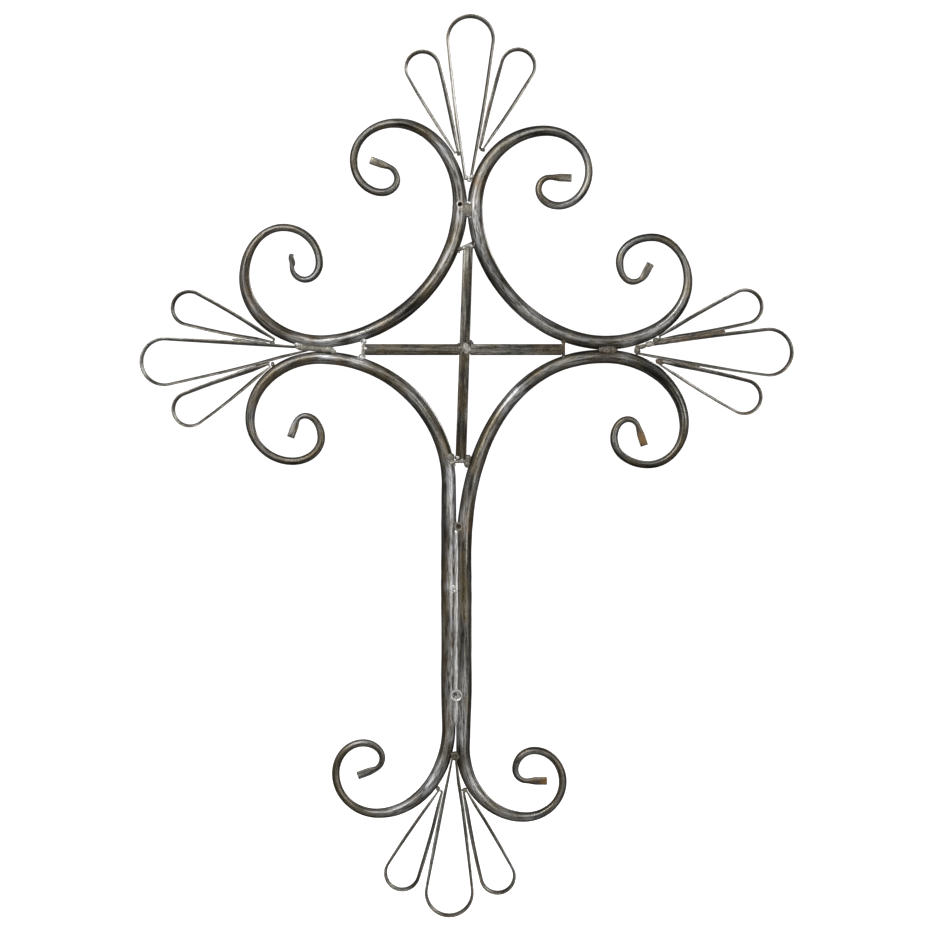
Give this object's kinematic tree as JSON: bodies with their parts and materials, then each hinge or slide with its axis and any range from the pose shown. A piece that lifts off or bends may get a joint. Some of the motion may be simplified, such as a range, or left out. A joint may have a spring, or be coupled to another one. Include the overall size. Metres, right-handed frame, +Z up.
{
  "type": "wrought iron cross",
  "caption": "Wall cross of round bars rolled into scrolls, with a small cross of square bar in the middle and a fan of strip petals at each end, hung from a hole in its head.",
  "frame": {"origin": "middle of the hanging hole in the upper left bar's head, on the plane of the bars", "axes": "+Z up along the shaft, +X to the right seen from the front, and the front faces -Y"},
  "size_m": [0.688, 0.0156, 0.9499],
  "materials": {
    "bar_iron": "dark charcoal forged iron, rubbed lighter along its flats, with brown and olive stains",
    "square_iron": "dark grey square bar with lengthwise mill streaks",
    "strap_iron": "scorched dark strap with weld spatter",
    "petal_iron": "dark strip with light and olive streaks and touches of rust"
  },
  "bodies": {
    "root": {"upper_left_scroll": "bar_iron", "upper_right_scroll": "bar_iron", "lower_left_scroll": "bar_iron", "lower_right_scroll": "bar_iron", "cross_upright": "square_iron", "cross_left_arm": "square_iron", "cross_right_arm": "square_iron", "top_tie": "strap_iron", "left_tie": "strap_iron", "right_tie": "strap_iron", "foot_tie": "strap_iron", "top_petal_centre": "petal_iron", "top_petal_left": "petal_iron", "top_petal_right": "petal_iron", "left_petal_centre": "petal_iron", "left_petal_upper": "petal_iron", "left_petal_lower": "petal_iron", "right_petal_centre": "petal_iron", "right_petal_upper": "petal_iron", "right_petal_lower": "petal_iron", "foot_petal_centre": "petal_iron", "foot_petal_left": "petal_iron", "foot_petal_right": "petal_iron"}
  },
  "joints": []
}
